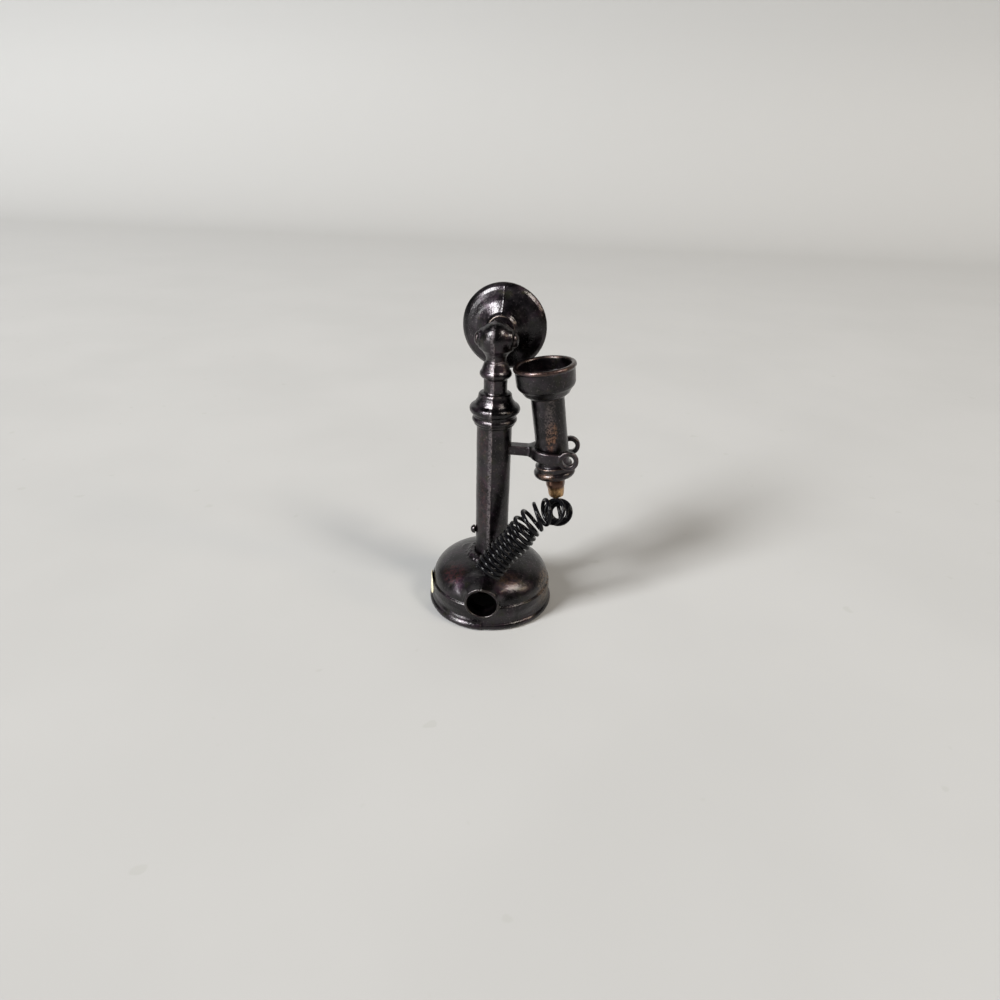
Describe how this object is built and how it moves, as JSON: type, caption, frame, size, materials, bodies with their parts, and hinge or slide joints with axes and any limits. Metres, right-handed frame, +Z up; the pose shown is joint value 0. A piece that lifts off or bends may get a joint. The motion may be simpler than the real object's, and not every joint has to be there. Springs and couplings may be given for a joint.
{
  "type": "miniature candlestick telephone pencil sharpener",
  "caption": "Miniature candlestick telephone in antique bronze: tilting transmitter, receiver in a forked hook, coiled cord, and a pencil sharpener inside the bell-shaped base",
  "frame": {"origin": "On the plane the foot stands on, under the middle of the rigid pieces' box", "axes": "+Z up; the mouthpiece faces -Y and the pencil hole +Y; the receiver hangs on the -X side"},
  "size_m": [0.0376, 0.035, 0.0828],
  "materials": {
    "bronze": "antique bronze plating on zinc, satin, worn at the edges",
    "copper": "antique bronze plating worn to copper",
    "ferrule": "worn brass",
    "cord": "glossy black",
    "label": "cream paper, blank",
    "insert": "cast, dull",
    "steel": "bright"
  },
  "bodies": {
    "stand": {"base_shell": "bronze", "column": "bronze", "column_pin": "bronze", "tilt_pin": "bronze", "receiver_hook": "bronze", "blank_label": "label", "cord_bush": "ferrule", "coiled_cord": "cord", "sharpener_body": "insert", "sharpener_blade": "steel", "blade_screw": "steel", "sharpener_screw_left": "steel", "sharpener_screw_right": "steel"},
    "transmitter": {"transmitter_case": "bronze", "mouthpiece": "bronze"},
    "receiver": {"receiver_handle": "bronze", "receiver_cap": "copper", "cord_ferrule": "ferrule"}
  },
  "joints": [
    {"name": "transmitter_tilt", "type": "hinge", "parent": "stand", "child": "transmitter", "pos_m": [0.00233, 0.00096, 0.0714], "axis": [0.9976, -0.0698, 0], "range_deg": [-28, 2]},
    {"name": "receiver_unhook", "type": "slide", "parent": "stand", "child": "receiver", "axis": [-1, 0, 0], "range_m": [0, 0.018], "deforming": ["coiled_cord"]}
  ]
}
